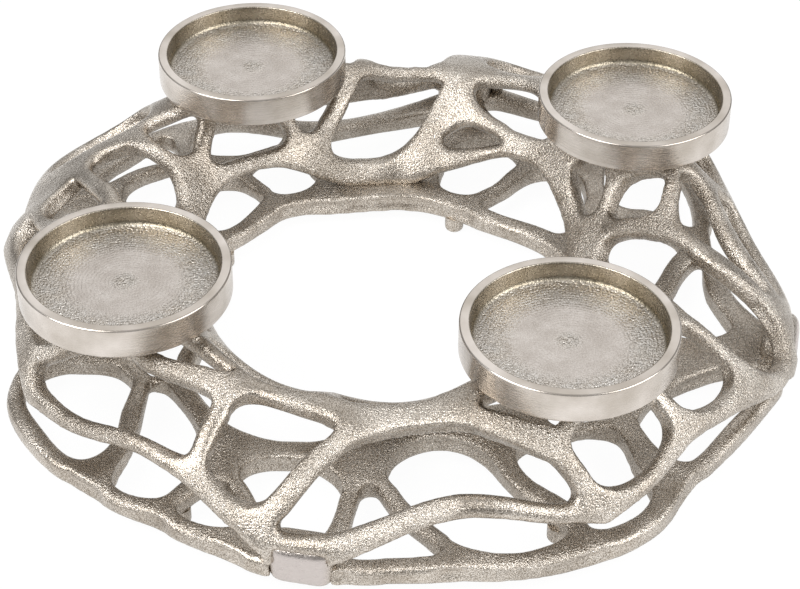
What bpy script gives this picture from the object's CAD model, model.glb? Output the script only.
"""Advent candle holder: a ring of openwork nickel-plated castings with four turned candle cups."""
import math

import bmesh
import bpy
import numpy as np
from mathutils import Matrix, Vector
from mathutils.bvhtree import BVHTree


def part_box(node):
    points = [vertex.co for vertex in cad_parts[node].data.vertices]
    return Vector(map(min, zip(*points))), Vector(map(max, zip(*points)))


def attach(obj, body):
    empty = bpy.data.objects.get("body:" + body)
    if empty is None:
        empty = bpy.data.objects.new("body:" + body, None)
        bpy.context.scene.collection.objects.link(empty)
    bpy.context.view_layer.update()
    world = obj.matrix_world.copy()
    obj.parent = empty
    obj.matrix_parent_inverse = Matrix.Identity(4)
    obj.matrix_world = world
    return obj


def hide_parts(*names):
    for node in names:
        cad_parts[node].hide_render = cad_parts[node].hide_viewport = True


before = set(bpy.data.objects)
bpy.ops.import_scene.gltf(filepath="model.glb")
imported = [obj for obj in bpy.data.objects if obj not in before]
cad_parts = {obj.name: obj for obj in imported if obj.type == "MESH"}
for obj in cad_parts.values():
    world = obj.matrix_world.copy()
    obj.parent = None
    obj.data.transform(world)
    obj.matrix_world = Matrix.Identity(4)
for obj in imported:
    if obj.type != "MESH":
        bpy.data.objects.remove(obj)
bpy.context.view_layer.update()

# Flat base ring
# Four sand-cast quarters of aluminium, nickel-plated and left raw. Hoops and struts are one
# casting, about as thick as a pencil, with every edge rounded by the mould.
quarters = ["back_right", "back_left", "front_left", "front_right"]
quarter_turn = math.pi / 2
joint_angle = math.radians(348.3)  # where the first quarter begins
merge_distance = 2e-6
probe_start = 1e-5  # how far under the skin a thickness is measured from
evening_parts = 3  # a point moves by one of so many parts of what its strand lacks
most_in, most_out = 0.0035, 0.0016
foot_height, foot_facing = 0.018, -0.5  # skin lower than this that faces down is a foot's
casting_grain, casting_swell = 0.0011, 0.0002
rounding_factor = 0.5
base_rounds, base_strand = 34, 0.0088
noise_low, noise_high = 0.3, 0.7  # where most values of a noise lie
sand_depth = 0.0008


def placed(name, data):
    """An object of the scene that shows a mesh, a lamp or a camera."""
    thing = bpy.data.objects.new(name, data)
    bpy.context.scene.collection.objects.link(thing)
    return thing


def joined_nodes(name, nodes):
    """One mesh from several solids: their corner points and triangles, end to end."""
    points, triangles, start = [], [], 0
    for node in nodes:
        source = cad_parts[node].data
        source.calc_loop_triangles()
        co = np.empty(len(source.vertices) * 3)
        source.vertices.foreach_get("co", co)
        corner = np.empty(len(source.loop_triangles) * 3, dtype=np.int32)
        source.loop_triangles.foreach_get("vertices", corner)
        points.append(co.reshape(-1, 3))
        triangles.append(corner.reshape(-1, 3) + start)
        start += len(source.vertices)
    mesh = bpy.data.meshes.new(name)
    mesh.from_pydata(np.concatenate(points), [], np.concatenate(triangles))
    merged = bmesh.new()
    merged.from_mesh(mesh)
    bmesh.ops.remove_doubles(merged, verts=merged.verts, dist=merge_distance)
    merged.to_mesh(mesh)
    merged.free()
    return mesh


def places_and_normals(mesh):
    """Where each point of a mesh is and which way its skin faces, a row for each point."""
    place, normal = np.empty(len(mesh.vertices) * 3), np.empty(len(mesh.vertices) * 3)
    mesh.vertices.foreach_get("co", place)
    mesh.vertices.foreach_get("normal", normal)
    return place.reshape(-1, 3), normal.reshape(-1, 3)


def evened(mesh, strand):
    """Moves each point by a third of what the metal behind it lacks of a strand's thickness: out
    where it is thinner, in a little where it is broader, and out under the feet."""
    place, normal = places_and_normals(mesh)
    tree = BVHTree.FromPolygons(place.tolist(), [face.vertices[:] for face in mesh.polygons])
    starts = place - probe_start * normal
    depth = [tree.ray_cast(Vector(a), Vector(-b))[3] for a, b in zip(starts, normal)]
    depth = np.array([strand if across is None else across for across in depth])
    step = np.clip((strand - depth) / evening_parts, -most_in, most_out)
    step[(normal[:, 2] < foot_facing) & (place[:, 2] < foot_height)] = most_out
    mesh.vertices.foreach_set("co", (place + normal * step[:, None]).ravel())


def cast_skin(name, nodes, grain, rounds, swell, strand=0):
    """The solids remade in small even facets and, where a strand's thickness is given, evened
    towards it. Each point then moves again and again towards the mean of its neighbours, and
    last of all out by the swell."""
    blank = placed(name, joined_nodes(name, nodes))
    remesh = blank.modifiers.new("facets", "REMESH")
    remesh.mode = "VOXEL"
    remesh.voxel_size = grain
    graph = bpy.context.evaluated_depsgraph_get()
    blank.data = bpy.data.meshes.new_from_object(blank.evaluated_get(graph))
    blank.modifiers.clear()
    if strand:
        evened(blank.data, strand)
    smooth = blank.modifiers.new("rounding", "SMOOTH")
    smooth.factor = rounding_factor
    smooth.iterations = rounds
    regain = blank.modifiers.new("regain", "DISPLACE")
    regain.mid_level = 0
    regain.strength = swell
    graph = bpy.context.evaluated_depsgraph_get()
    skin = bpy.data.meshes.new_from_object(blank.evaluated_get(graph))
    bpy.data.objects.remove(blank)
    return skin


def crumbs(cut):
    """The points of every connected part but the largest."""
    left, parts = set(cut.verts), []
    while left:
        front = [left.pop()]
        parts.append([])
        while front:
            point = front.pop()
            parts[-1].append(point)
            beside = {edge.other_vert(point) for edge in point.link_edges} & left
            left -= beside
            front.extend(beside)
    parts.sort(key=len)
    return [point for part in parts[:-1] for point in part]


def quarter_piece(name, skin, quarter):
    """The part of a ring's skin between two joints, closed flat where it meets its neighbours."""
    begin = joint_angle + quarter_turn * quarters.index(quarter)
    cut = bmesh.new()
    cut.from_mesh(skin)
    for angle, keep_after in ((begin, True), (begin + quarter_turn, False)):
        every = cut.verts[:] + cut.edges[:] + cut.faces[:]
        across = (-math.sin(angle), math.cos(angle), 0)
        bmesh.ops.bisect_plane(
            cut, geom=every, plane_co=(0, 0, 0), plane_no=across,
            clear_inner=keep_after, clear_outer=not keep_after,
        )
    bmesh.ops.delete(cut, geom=crumbs(cut), context="VERTS")
    rims = [edge for edge in cut.edges if edge.is_boundary]
    for edge in rims:
        edge.smooth = False
    bmesh.ops.holes_fill(cut, edges=rims)
    for face in cut.faces:
        face.smooth = True
    mesh = bpy.data.meshes.new(name)
    cut.to_mesh(mesh)
    cut.free()
    return placed(name, mesh)


def mixed(nodes, links, low, high, factor):
    """Colour between two colours by a factor socket."""
    mix = nodes.new("ShaderNodeMix")
    mix.data_type = "RGBA"
    mix.inputs["A"].default_value = (*low, 1)
    mix.inputs["B"].default_value = (*high, 1)
    links.new(factor, mix.inputs["Factor"])
    return mix.outputs["Result"]


def ranged(nodes, links, value, from_low, from_high, to_low, to_high, held=True):
    """A value socket mapped from one range to another, and held inside it or carried on."""
    span = nodes.new("ShaderNodeMapRange")
    span.clamp = held
    links.new(value, span.inputs["Value"])
    span.inputs["From Min"].default_value = from_low
    span.inputs["From Max"].default_value = from_high
    span.inputs["To Min"].default_value = to_low
    span.inputs["To Max"].default_value = to_high
    return span.outputs["Result"]


def worked_out(nodes, links, operation, *values):
    """One value socket from others by a sum, a product or another operation."""
    step = nodes.new("ShaderNodeMath")
    step.operation = operation
    for socket, value in zip(step.inputs, values):
        links.new(value, socket)
    return step.outputs["Value"]


def grains(nodes, links, place, scale, detail=2.0):
    """Value of a noise at a scale in waves per metre."""
    noise = nodes.new("ShaderNodeTexNoise")
    noise.inputs["Scale"].default_value = scale
    noise.inputs["Detail"].default_value = detail
    links.new(place, noise.inputs["Vector"])
    return noise.outputs["Fac"]


def blended(nodes, links, factor, first, second, kind="RGBA"):
    """Second socket over first by a factor socket, for colours or for plain values."""
    mix = nodes.new("ShaderNodeMix")
    mix.data_type = kind
    links.new(factor, mix.inputs["Factor"])
    links.new(first, mix.inputs["A"])
    links.new(second, mix.inputs["B"])
    return mix.outputs["Result"]


def speckled(nodes, links, tint, dust):
    """A colour socket darkened in the pits between sand grains."""
    pit_low, pit_high = 0.36, 0.62
    pit_shade, no_shade = (0.38, 0.35, 0.31), (1, 1, 1)
    fleck = ranged(nodes, links, dust, pit_low, pit_high, 0, 1)
    speck = nodes.new("ShaderNodeMix")
    speck.data_type = "RGBA"
    speck.blend_type = "MULTIPLY"
    speck.inputs["Factor"].default_value = 1
    links.new(tint, speck.inputs["A"])
    links.new(mixed(nodes, links, pit_shade, no_shade, fleck), speck.inputs["B"])
    return speck.outputs["Result"]


def plain_metal(name):
    """A new metal, with its nodes, its links and the shader that its looks go into."""
    material = bpy.data.materials.new(name)
    material.use_nodes = True
    nodes, links = material.node_tree.nodes, material.node_tree.links
    metal = nodes["Principled BSDF"]
    metal.inputs["Metallic"].default_value = 1
    return material, nodes, links, metal


def cast_nickel():
    """Sandy raw nickel: sand grains in the relief, a patchy tarnish, and smooth pale metal with
    belt marks where the point attribute "ground" is 1."""
    sand_scale, dust_scale, belt_scale, cloud_scale, patch_scale = 1150, 2100, 1500, 55, 28
    cloud_detail, patch_detail = 4, 2
    cloud_low, cloud_high = 0.35, 0.68
    patch_low, patch_high = 0.38, 0.62
    tarnished, clean = (0.62, 0.56, 0.49), (0.92, 0.86, 0.785)
    belt_dark, belt_pale = (0.50, 0.455, 0.43), (0.66, 0.605, 0.58)
    belt_stretch = (0.25, 0.25, 1)
    sand_gloss, sand_dull = 0.14, 0.32
    belt_gloss, belt_dull = 0.26, 0.4
    dust_height, least_relief, ground_relief = 0.5, 0.4, 0.08

    material, nodes, links, metal = plain_metal("cast_nickel")
    place = nodes.new("ShaderNodeTexCoord").outputs["Object"]
    ground = nodes.new("ShaderNodeAttribute")
    ground.attribute_name = "ground"
    worn = ground.outputs["Fac"]
    sand = grains(nodes, links, place, sand_scale)
    dust = grains(nodes, links, place, dust_scale)
    cloud = grains(nodes, links, place, cloud_scale, cloud_detail)
    cloud = ranged(nodes, links, cloud, cloud_low, cloud_high, 0, 1)
    tint = mixed(nodes, links, tarnished, clean, cloud)
    stretch = nodes.new("ShaderNodeMapping")
    stretch.inputs["Scale"].default_value = belt_stretch
    links.new(place, stretch.inputs["Vector"])
    marks = grains(nodes, links, stretch.outputs["Vector"], belt_scale)
    pale = mixed(nodes, links, belt_dark, belt_pale, marks)
    raw = speckled(nodes, links, tint, dust)
    links.new(blended(nodes, links, worn, raw, pale), metal.inputs["Base Color"])
    raw_rough = ranged(nodes, links, sand, noise_low, noise_high, sand_gloss, sand_dull)
    belt_rough = ranged(nodes, links, marks, noise_low, noise_high, belt_gloss, belt_dull)
    rough = blended(nodes, links, worn, raw_rough, belt_rough, "FLOAT")
    links.new(rough, metal.inputs["Roughness"])
    fine = ranged(nodes, links, dust, 0, 1, 0, dust_height)
    relief = worked_out(nodes, links, "ADD", sand, fine)
    patch = grains(nodes, links, place, patch_scale, patch_detail)
    coarse = ranged(nodes, links, patch, patch_low, patch_high, least_relief, 1)
    unground = ranged(nodes, links, worn, 0, 1, 1, ground_relief)
    keen = worked_out(nodes, links, "MULTIPLY", coarse, unground)
    bump = nodes.new("ShaderNodeBump")
    bump.inputs["Distance"].default_value = sand_depth
    links.new(keen, bump.inputs["Strength"])
    links.new(relief, bump.inputs["Height"])
    links.new(bump.outputs["Normal"], metal.inputs["Normal"])
    return material


sandy = cast_nickel()
base_nodes = [f"base_{quarter}" for quarter in quarters]
base_skin = cast_skin(
    "base_skin", base_nodes, casting_grain, base_rounds, casting_swell, base_strand
)
for quarter in quarters:
    base = quarter_piece(f"cast_base_{quarter}", base_skin, quarter)
    base.data.materials.append(sandy)
    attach(base, "root")
    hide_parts(f"base_{quarter}")

# Arched web
# Four more quarters, sand-cast like the base: strands that branch and wave over it like roots,
# standing on it at the welds and at a few feet inside the ring.
web_rounds, web_strand = 40, 0.0095
web_nodes = [f"web_{quarter}" for quarter in quarters]
web_skin = cast_skin("web_skin", web_nodes, casting_grain, web_rounds, casting_swell, web_strand)
for quarter in quarters:
    web = quarter_piece(f"cast_web_{quarter}", web_skin, quarter)
    web.data.materials.append(sandy)
    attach(web, "root")
    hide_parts(f"web_{quarter}")

# Ground welds
# Where two quarters meet at the outer rim they are welded, and the bead is ground flush on a
# belt, so the sandy skin gives way to a smooth pale patch with fine belt marks.
weld_grain, weld_rounds, weld_swell = 0.0007, 110, 0.0028
weld_sink = 0.0045  # how far the bead is set back into the rim
ground_from, ground_span = 0.55, 0.4  # how squarely skin faces out where grinding sets in


def ground_share(mesh):
    """Stores at each point how squarely its skin faces out from the ring: 1 on the ground face."""
    place, normal = places_and_normals(mesh)
    out = place[:, :2] / np.linalg.norm(place[:, :2], axis=1, keepdims=True)
    facing = (normal[:, :2] * out).sum(axis=1)
    share = mesh.attributes.new("ground", "FLOAT", "POINT")
    share.data.foreach_set("value", np.clip((facing - ground_from) / ground_span, 0, 1))


for side in ("front", "right", "back", "left"):
    skin = cast_skin(
        f"ground_weld_{side}", [f"weld_{side}"], weld_grain, weld_rounds, weld_swell
    )
    low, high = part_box(f"weld_{side}")
    middle = (low + high) / 2
    outward = Vector((middle.x, middle.y, 0)).normalized()
    skin.transform(Matrix.Translation(-weld_sink * outward))
    skin.polygons.foreach_set("use_smooth", np.ones(len(skin.polygons), dtype=bool))
    ground_share(skin)
    skin.materials.clear()
    skin.materials.append(sandy)
    weld = placed(f"ground_weld_{side}", skin)
    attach(weld, "root")
    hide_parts(f"weld_{side}")

# Candle cups
# Shallow dishes turned from cast blanks: bright smooth walls and rim, and a floor faced smooth
# inside a sandy band, with the faint rings of the facing cut and a rough spot at its middle.
cup_low, cup_high = (corner.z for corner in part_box("cup_back_right"))
cup_depth = 0.0095
cup_floor = cup_high - cup_depth
cup_radius, bore_radius = 0.045, 0.0405
rim_round, cove_round = 0.0008, 0.0035
axis_gap = 0.0003  # the profile ends this far from the axis, and one point closes it
ring_pitch, ring_height = 0.0016, 0.000012
swell_height, swell_width = 0.0003, 0.005


def cup_profile():
    """Half section from the middle of the underside, round the wall and rim, to the floor's
    middle. Edges and cove are quarter circles; the floor is a sine of the reach for the rings
    and a bell curve for the low swelling."""
    round_steps, floor_steps, wall_steps, bore_steps, under_steps = 9, 150, 8, 6, 8
    turn = np.linspace(0, quarter_turn, round_steps)
    side, rise = rim_round * np.sin(turn), rim_round * np.cos(turn)
    foot = np.stack([cup_radius - rim_round + side, cup_low + rim_round - rise], 1)
    shoulder = np.stack([cup_radius - rim_round + rise, cup_high - rim_round + side], 1)
    lip = np.stack([bore_radius + rim_round - side, cup_high - rim_round + rise], 1)
    turned_in, turned_down = cove_round * (1 - np.cos(turn)), cove_round * (1 - np.sin(turn))
    cove = np.stack([bore_radius - turned_in, cup_floor + turned_down], 1)
    reach = np.linspace(bore_radius - cove_round, axis_gap, floor_steps)[1:]
    rings = ring_height * np.sin(reach / ring_pitch * 2 * math.pi)
    swell = swell_height * np.exp(-((reach / swell_width) ** 2))
    floor = np.stack([reach, cup_floor + rings + swell], 1)
    upright = np.linspace(cup_low + rim_round, cup_high - rim_round, wall_steps)[1:-1]
    wall = np.stack([np.full_like(upright, cup_radius), upright], 1)
    inward = np.linspace(cup_high - rim_round, cup_floor + cove_round, bore_steps)[1:-1]
    bore = np.stack([np.full_like(inward, bore_radius), inward], 1)
    across = np.linspace(axis_gap, cup_radius - rim_round, under_steps)[:-1]
    under = np.stack([across, np.full_like(across, cup_low)], 1)
    return np.concatenate([under, foot, wall, shoulder, lip, bore, cove, floor])


def turned(name, profile, middle, around=224):
    """A profile carried once round a standing axis, with a point at each end of it."""
    angle = np.linspace(0, 2 * math.pi, around, endpoint=False)
    ring = np.stack([np.cos(angle), np.sin(angle)], 1)
    xy = middle + profile[:, None, :1] * ring[None]
    z = np.broadcast_to(profile[:, None, 1:], (len(profile), around, 1))
    points = np.concatenate([xy, z], 2).reshape(-1, 3)
    ends = np.array([[*middle, profile[0, 1]], [*middle, profile[-1, 1]]])
    row, col = np.meshgrid(np.arange(len(profile) - 1), np.arange(around), indexing="ij")
    corner = (row * around + col).ravel()
    beside = (row * around + (col + 1) % around).ravel()
    quads = np.stack([corner, beside, beside + around, corner + around], 1)
    step, last, count = np.arange(around), (len(profile) - 1) * around, len(points)
    first_cap = np.stack([np.full(around, count), (step + 1) % around, step], 1)
    last_cap = np.stack([np.full(around, count + 1), last + step, last + (step + 1) % around], 1)
    mesh = bpy.data.meshes.new(name)
    faces = quads.tolist() + first_cap.tolist() + last_cap.tolist()
    mesh.from_pydata(np.concatenate([points, ends]), [], faces)
    mesh.polygons.foreach_set("use_smooth", np.ones(len(mesh.polygons), dtype=bool))
    return placed(name, mesh)


def turned_nickel(name, middle):
    """Turned nickel: bright walls with lathe lines, a dark bore, and a floor faced smooth inside
    a sandy band, rough again at its middle."""
    floor_edge, floor_inside = bore_radius - 0.0008, bore_radius - 0.003
    floor_over, floor_at = cup_floor + 0.0028, cup_floor + 0.0012
    disc_edge, band_edge, disc_relief, band_relief = 0.021, 0.029, 0.2, 0.9
    spot_edge, spot_end, spot_relief = 0.003, 0.007, 0.65
    sand_scale, dust_scale, cloud_scale, lathe_scale, streak_scale = 1000, 1900, 130, 3500, 45
    cloud_detail, streak_detail = 6, 3
    cloud_low, cloud_high = 0.32, 0.68
    streak_low, streak_high = 0.35, 0.65
    faced_dark, faced_pale = (0.46, 0.415, 0.38), (0.58, 0.53, 0.49)
    band_dark, band_pale = (0.94, 0.88, 0.81), (1, 0.97, 0.93)
    wall_dark, wall_pale = (0.50, 0.45, 0.395), (0.74, 0.685, 0.635)
    bore_dark, bore_pale = (0.26, 0.22, 0.155), (0.46, 0.41, 0.33)
    wall_gloss, wall_dull = 0.18, 0.28
    floor_gloss, floor_dull = 0.22, 0.38
    lathe_height, bore_sand_height, ring_relief = 0.05, 0.3, 0.04

    material, nodes, links, metal = plain_metal(name)
    centre = nodes.new("ShaderNodeMapping")
    centre.inputs["Location"].default_value = (-middle[0], -middle[1], 0)
    links.new(nodes.new("ShaderNodeTexCoord").outputs["Object"], centre.inputs["Vector"])
    place = centre.outputs["Vector"]
    parts = nodes.new("ShaderNodeSeparateXYZ")
    links.new(place, parts.inputs["Vector"])
    flat = nodes.new("ShaderNodeCombineXYZ")
    links.new(parts.outputs["X"], flat.inputs["X"])
    links.new(parts.outputs["Y"], flat.inputs["Y"])
    length = nodes.new("ShaderNodeVectorMath")
    length.operation = "LENGTH"
    links.new(flat.outputs["Vector"], length.inputs[0])
    reach = length.outputs["Value"]
    inside = ranged(nodes, links, reach, floor_edge, floor_inside, 0, 1)
    low = ranged(nodes, links, parts.outputs["Z"], floor_over, floor_at, 0, 1)
    on_floor = worked_out(nodes, links, "MULTIPLY", inside, low)
    sand = grains(nodes, links, place, sand_scale)
    dust = grains(nodes, links, place, dust_scale)
    cloud = grains(nodes, links, place, cloud_scale, cloud_detail)
    cloud = ranged(nodes, links, cloud, cloud_low, cloud_high, 0, 1)
    faced_tint = mixed(nodes, links, faced_dark, faced_pale, cloud)
    band_tint = mixed(nodes, links, band_dark, band_pale, cloud)
    band = ranged(nodes, links, reach, disc_edge, band_edge, disc_relief, band_relief)
    spot = ranged(nodes, links, reach, spot_edge, spot_end, spot_relief, 0)
    keen = worked_out(nodes, links, "ADD", band, spot)
    rough_tint = speckled(nodes, links, band_tint, dust)
    floor_tint = blended(nodes, links, keen, faced_tint, rough_tint)
    lathe = nodes.new("ShaderNodeTexNoise")
    lathe.noise_dimensions = "1D"
    lathe.inputs["Scale"].default_value = lathe_scale
    links.new(parts.outputs["Z"], lathe.inputs["W"])
    streak = grains(nodes, links, place, streak_scale, streak_detail)
    streak = ranged(nodes, links, streak, streak_low, streak_high, 0, 1)
    outer_tint = mixed(nodes, links, wall_dark, wall_pale, streak)
    inner_tint = mixed(nodes, links, bore_dark, bore_pale, streak)
    bored = ranged(nodes, links, reach, bore_radius + rim_round, bore_radius, 0, 1)
    wall_tint = blended(nodes, links, bored, outer_tint, inner_tint)
    links.new(blended(nodes, links, on_floor, wall_tint, floor_tint), metal.inputs["Base Color"])
    lines = lathe.outputs["Fac"]
    outer_rough = ranged(nodes, links, lines, noise_low, noise_high, wall_gloss, wall_dull)
    floor_rough = ranged(nodes, links, sand, noise_low, noise_high, floor_gloss, floor_dull)
    wall_rough = blended(nodes, links, bored, outer_rough, floor_rough, "FLOAT")
    rough = blended(nodes, links, on_floor, wall_rough, floor_rough, "FLOAT")
    links.new(rough, metal.inputs["Roughness"])
    outer_relief = ranged(nodes, links, lines, 0, 1, 0, lathe_height)
    inner_relief = ranged(nodes, links, sand, 0, 1, 0, bore_sand_height)
    wall_relief = blended(nodes, links, bored, outer_relief, inner_relief, "FLOAT")
    turns = ranged(nodes, links, reach, 0, ring_pitch, 0, 2 * math.pi, False)
    wave = worked_out(nodes, links, "SINE", turns)
    cut_rings = ranged(nodes, links, wave, -1, 1, -ring_relief, ring_relief)
    floor_relief = worked_out(nodes, links, "ADD", sand, cut_rings)
    relief = blended(nodes, links, on_floor, wall_relief, floor_relief, "FLOAT")
    bump = nodes.new("ShaderNodeBump")
    bump.inputs["Distance"].default_value = sand_depth
    links.new(keen, bump.inputs["Strength"])
    links.new(relief, bump.inputs["Height"])
    links.new(bump.outputs["Normal"], metal.inputs["Normal"])
    return material


for quarter in quarters:
    low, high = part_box(f"cup_{quarter}")
    middle = np.array([(low.x + high.x) / 2, (low.y + high.y) / 2])
    cup = turned(f"turned_cup_{quarter}", cup_profile(), middle)
    cup.data.materials.append(turned_nickel(f"turned_nickel_{quarter}", middle))
    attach(cup, "root")
    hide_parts(f"cup_{quarter}")

# Peg feet
# Short pegs cast with the base, left sandy, that keep its hoops off the table.
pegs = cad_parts["peg_feet"]
pegs.data.materials.clear()
pegs.data.materials.append(sandy)

# Floor, light and camera
# A white table under broad soft lamps, seen from the front at the height of someone standing.
floor_reach, floor_roughness = 6.0, 0.9
floor_white, floor_glow = (0.9, 0.9, 0.9, 1), 1.03
glow_seen, glow_mirrored = 0.93, 0.4  # shares of the floor's own light, seen and in the metal
full_white = (1, 1, 1, 1)


def white_floor():
    """White that keeps a soft shadow: mostly its own light for the eye, partly so in the metal."""
    material = bpy.data.materials.new("white_floor")
    material.use_nodes = True
    nodes, links = material.node_tree.nodes, material.node_tree.links
    lit = nodes["Principled BSDF"]
    lit.inputs["Base Color"].default_value = floor_white
    lit.inputs["Roughness"].default_value = floor_roughness
    glow = nodes.new("ShaderNodeEmission")
    glow.inputs["Color"].default_value = full_white
    glow.inputs["Strength"].default_value = floor_glow
    ray = nodes.new("ShaderNodeLightPath")
    seen = ranged(nodes, links, ray.outputs["Is Camera Ray"], 0, 1, 0, glow_seen)
    mirrored = ranged(nodes, links, ray.outputs["Is Glossy Ray"], 0, 1, 0, glow_mirrored)
    blend = nodes.new("ShaderNodeMixShader")
    links.new(worked_out(nodes, links, "ADD", seen, mirrored), blend.inputs["Fac"])
    links.new(lit.outputs["BSDF"], blend.inputs[1])
    links.new(glow.outputs["Emission"], blend.inputs[2])
    links.new(blend.outputs["Shader"], nodes["Material Output"].inputs["Surface"])
    return material


floor_mesh = bpy.data.meshes.new("floor")
corners = [(x * floor_reach, y * floor_reach, 0) for x, y in ((-1, -1), (1, -1), (1, 1), (-1, 1))]
floor_mesh.from_pydata(corners, [], [(0, 1, 2, 3)])
floor_mesh.materials.append(white_floor())
floor = placed("floor", floor_mesh)

sky_from, sky_to = 0.1, 0.9
sky_low, sky_high = (0.2, 0.195, 0.19), (0.62, 0.62, 0.62)
world = bpy.data.worlds.new("studio")
bpy.context.scene.world = world
world.use_nodes = True
nodes, links = world.node_tree.nodes, world.node_tree.links
up = nodes.new("ShaderNodeSeparateXYZ")
links.new(nodes.new("ShaderNodeTexCoord").outputs["Generated"], up.inputs["Vector"])
height = ranged(nodes, links, up.outputs["Z"], sky_from, sky_to, 0, 1)
links.new(mixed(nodes, links, sky_low, sky_high, height), nodes["Background"].inputs["Color"])
white = nodes.new("ShaderNodeBackground")
white.inputs["Color"].default_value = full_white
eye = nodes.new("ShaderNodeMixShader")
links.new(nodes.new("ShaderNodeLightPath").outputs["Is Camera Ray"], eye.inputs["Fac"])
links.new(nodes["Background"].outputs["Background"], eye.inputs[1])
links.new(white.outputs["Background"], eye.inputs[2])
links.new(eye.outputs["Shader"], nodes["World Output"].inputs["Surface"])


def soft_lamp(name, place, size, power, aim=(0, 0, 0.03)):
    """A square soft box that faces a spot."""
    light = bpy.data.lights.new(name, "AREA")
    light.size = size
    light.energy = power
    lamp = placed(name, light)
    lamp.location = place
    lamp.rotation_euler = (Vector(aim) - lamp.location).to_track_quat("-Z", "Y").to_euler()


soft_lamp("key", place=(-0.9, -0.6, 1.2), size=1.0, power=18)
soft_lamp("fill", place=(1.1, -0.5, 0.9), size=1.0, power=12)
soft_lamp("back", place=(0.1, 1.4, 1.2), size=1.6, power=5)

look_down, look_roll = 37.977, 0.345  # degrees below level, and of roll
camera_data = bpy.data.cameras.new("camera")
camera_data.sensor_width = 36
camera_data.lens = 95.88
camera = placed("camera", camera_data)
camera.location = (0.002237, -0.775963, 0.619634)
camera.rotation_mode = "XYZ"
down, roll = math.radians(90 - look_down), math.radians(look_roll)
camera.rotation_euler = (Matrix.Rotation(down, 3, "X") @ Matrix.Rotation(roll, 3, "Z")).to_euler()
bpy.context.scene.camera = camera
bpy.context.scene.view_settings.view_transform = "Standard"
